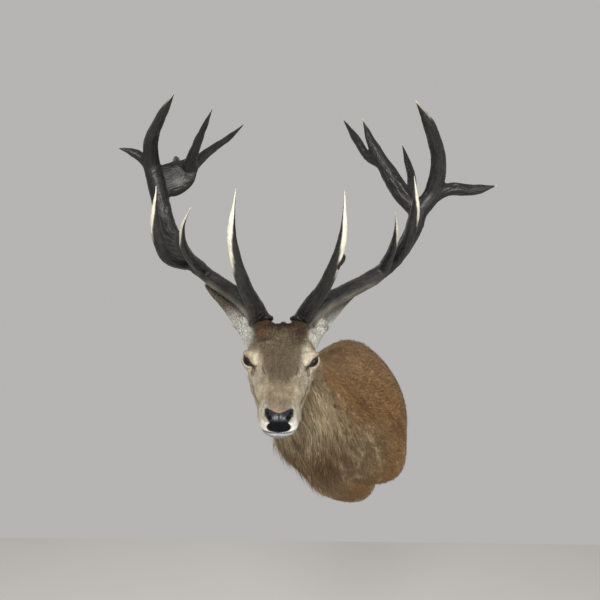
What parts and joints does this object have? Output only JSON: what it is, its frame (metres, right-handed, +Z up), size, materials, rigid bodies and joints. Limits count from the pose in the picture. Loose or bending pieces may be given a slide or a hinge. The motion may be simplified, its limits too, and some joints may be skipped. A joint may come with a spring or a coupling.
{
  "type": "red deer stag head mount",
  "caption": "Life-size red deer stag shoulder mount, head turned to its left, with wide branched antlers, on a flush wooden back board that hangs on a wall.",
  "frame": {"origin": "on the flat back of the board, in the wall's plane, behind the middle of the chest", "axes": "+Z up, +Y into the wall, so the chest faces -Y, and +X is the stag's left"},
  "size_m": [0.9442, 0.8762, 1.1813],
  "materials": {
    "coat_face": "short flat hair, grey-brown with cream round the eyes and muzzle",
    "coat_body": "warm brown hair with cream-grey streaks",
    "coat_ear": "pale grey short hair",
    "eye_glass": "polished dark brown glass eye",
    "antler": "dry dark brown antler, ridged, with ivory tips",
    "board_wood": "plain sanded board",
    "hanger_steel": "zinc-plated steel"
  },
  "bodies": {
    "root": {"head": "coat_face", "lower_jaw": "coat_face", "neck": "coat_body", "chest": "coat_body", "ear_left": "coat_ear", "ear_right": "coat_ear", "eye_left": "eye_glass", "eye_right": "eye_glass", "antler_left_beam": "antler", "antler_left_brow": "antler", "antler_left_bez": "antler", "antler_left_trez": "antler", "antler_left_crown_outer": "antler", "antler_left_crown_inner": "antler", "antler_right_beam": "antler", "antler_right_brow": "antler", "antler_right_bez": "antler", "antler_right_trez": "antler", "antler_right_crown_outer": "antler", "antler_right_crown_inner": "antler", "back_board": "board_wood", "hanger_plate": "hanger_steel"}
  },
  "joints": []
}
